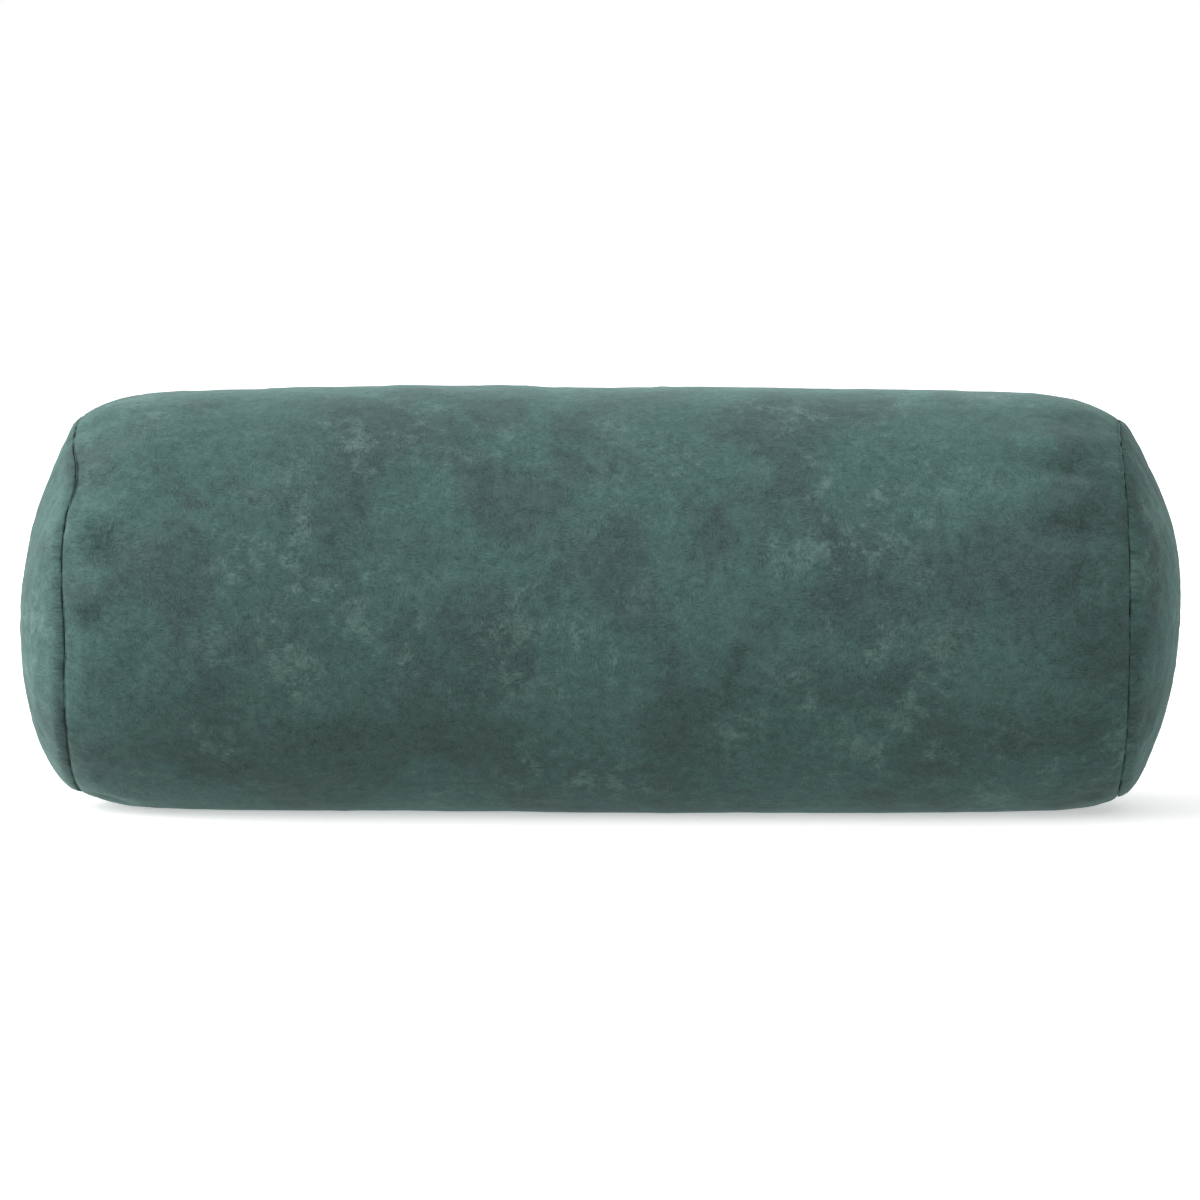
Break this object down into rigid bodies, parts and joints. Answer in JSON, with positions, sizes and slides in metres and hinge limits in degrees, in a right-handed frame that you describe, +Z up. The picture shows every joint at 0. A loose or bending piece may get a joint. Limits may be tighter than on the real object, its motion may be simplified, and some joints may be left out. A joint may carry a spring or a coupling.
{
  "type": "bolster pillow",
  "caption": "Round bolster pillow in dark teal velvet with domed sewn ends, a zipped cover and a fibre-filled inner case.",
  "frame": {"origin": "on the resting surface, under the middle of the pillow", "axes": "+X along the pillow, towards its right end as seen from the front; +Y to the back, where the zip is; +Z up"},
  "size_m": [0.6, 0.2268, 0.2194],
  "materials": {
    "velvet": "crushed velvet, dark teal",
    "thread": "polyester sewing thread, teal",
    "zip_tape": "woven tape, teal",
    "zip_coil": "nylon coil, teal",
    "zip_metal": "satin nickel plate",
    "label": "woven satin, blank",
    "case_cloth": "unbleached cotton",
    "case_thread": "cotton thread, white",
    "filling": "loose polyester fibre, white"
  },
  "bodies": {
    "cover": {"tube_panel": "velvet", "end_panel_left": "velvet", "end_panel_right": "velvet", "end_seam_stitching_left": "thread", "end_seam_stitching_right": "thread", "long_seam_stitching_left": "thread", "long_seam_stitching_right": "thread", "zip_tape_upper": "zip_tape", "zip_tape_lower": "zip_tape", "zip_teeth_upper": "zip_coil", "zip_teeth_lower": "zip_coil", "zip_stitching_upper": "thread", "zip_stitching_lower": "thread", "zip_top_stop_upper": "zip_metal", "zip_top_stop_lower": "zip_metal", "zip_bottom_stop": "zip_metal", "bar_tack_left": "thread", "bar_tack_right": "thread", "care_label": "label", "inner_tube": "case_cloth", "inner_end_left": "case_cloth", "inner_end_right": "case_cloth", "inner_end_stitching_left": "case_thread", "inner_end_stitching_right": "case_thread", "inner_closing_stitches": "case_thread", "fibre_filling": "filling"},
    "slider": {"zip_slider": "zip_metal"},
    "pull": {"zip_pull_tab": "zip_metal"}
  },
  "joints": [
    {"name": "zip_slide", "type": "slide", "parent": "cover", "child": "slider", "axis": [-1, 0, 0], "range_m": [0, 0.377], "deforming": ["zip_teeth_upper", "zip_teeth_lower"]},
    {"name": "pull_hinge", "type": "hinge", "parent": "slider", "child": "pull", "pos_m": [0.186, 0.11227, 0.1267], "axis": [0, 0.1736, -0.9848], "range_deg": [0, 170]}
  ]
}
